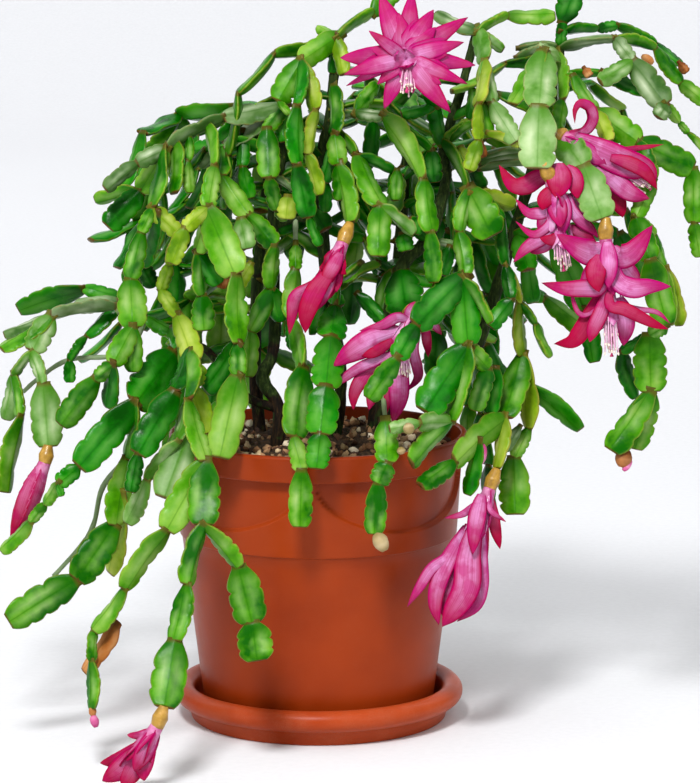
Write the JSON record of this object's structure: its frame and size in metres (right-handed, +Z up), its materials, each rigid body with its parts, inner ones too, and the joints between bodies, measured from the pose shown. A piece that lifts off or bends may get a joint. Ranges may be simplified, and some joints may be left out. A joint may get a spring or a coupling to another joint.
{
  "type": "potted christmas cactus",
  "caption": "Flowering Christmas cactus with arching, hanging stems of flat notched segments in a round plastic pot on a rolled-rim saucer.",
  "frame": {"origin": "on the pot's axis, at the flat underside of the saucer, where it stands", "axes": "+Z up along the axis of the pot; -Y towards the side that the plant is seen from; +X to the right of that view"},
  "size_m": [0.3776, 0.3252, 0.3955],
  "materials": {
    "saucer_plastic": "semi-gloss",
    "pot_plastic": "semi-gloss",
    "potting_soil": "rough",
    "woody_stem": "matte",
    "leafy_stem": "satin",
    "petal": "satin"
  },
  "bodies": {
    "root": {"arm_left_high": "leafy_stem", "arm_left_low": "leafy_stem", "arm_right_back": "leafy_stem", "arm_right_high": "leafy_stem", "arm_right_low": "leafy_stem", "back_left_stem_1": "leafy_stem", "back_left_stem_2": "leafy_stem", "back_left_stem_3": "leafy_stem", "back_left_stem_4": "leafy_stem", "back_left_stem_5": "leafy_stem", "back_left_stem_6": "leafy_stem", "back_right_stem_1": "leafy_stem", "back_right_stem_2": "leafy_stem", "back_right_stem_3": "leafy_stem", "back_right_stem_4": "leafy_stem", "back_right_stem_5": "leafy_stem", "back_right_stem_6": "leafy_stem", "bloom_centre_closed": "petal", "bloom_far_left": "petal", "bloom_low_left": "petal", "bloom_low_right": "petal", "bloom_middle": "petal", "bloom_right_inner": "petal", "bloom_right_open": "petal", "bloom_right_upper": "petal", "bloom_top": "petal", "crown_far_right": "leafy_stem", "crown_middle": "leafy_stem", "crown_right_dark": "leafy_stem", "crown_right_top": "leafy_stem", "crown_top_left": "leafy_stem", "fall_arm_front": "leafy_stem", "fall_arm_inner": "leafy_stem", "fall_arm_middle": "leafy_stem", "fall_arm_outer": "leafy_stem", "fall_centre_bright": "leafy_stem", "fall_centre_dark": "leafy_stem", "fall_centre_pale": "leafy_stem", "fall_crown_left": "leafy_stem", "fall_front_centre": "leafy_stem", "fall_front_right": "leafy_stem", "fall_left": "leafy_stem", "fall_left_front": "leafy_stem", "fall_left_inner": "leafy_stem", "fall_left_low": "leafy_stem", "fall_right_broad": "leafy_stem", "fall_right_front": "leafy_stem", "fall_rim_left": "leafy_stem", "leaf_middle_big": "leafy_stem", "leaf_middle_round": "leafy_stem", "leaves_behind_blooms": "leafy_stem", "pot": "pot_plastic", "saucer": "saucer_plastic", "soil": "potting_soil", "trunk_back_left": "woody_stem", "trunk_back_right": "woody_stem", "trunk_far_right": "woody_stem", "trunk_left": "woody_stem", "trunk_middle": "woody_stem", "trunk_right": "woody_stem"}
  },
  "joints": []
}
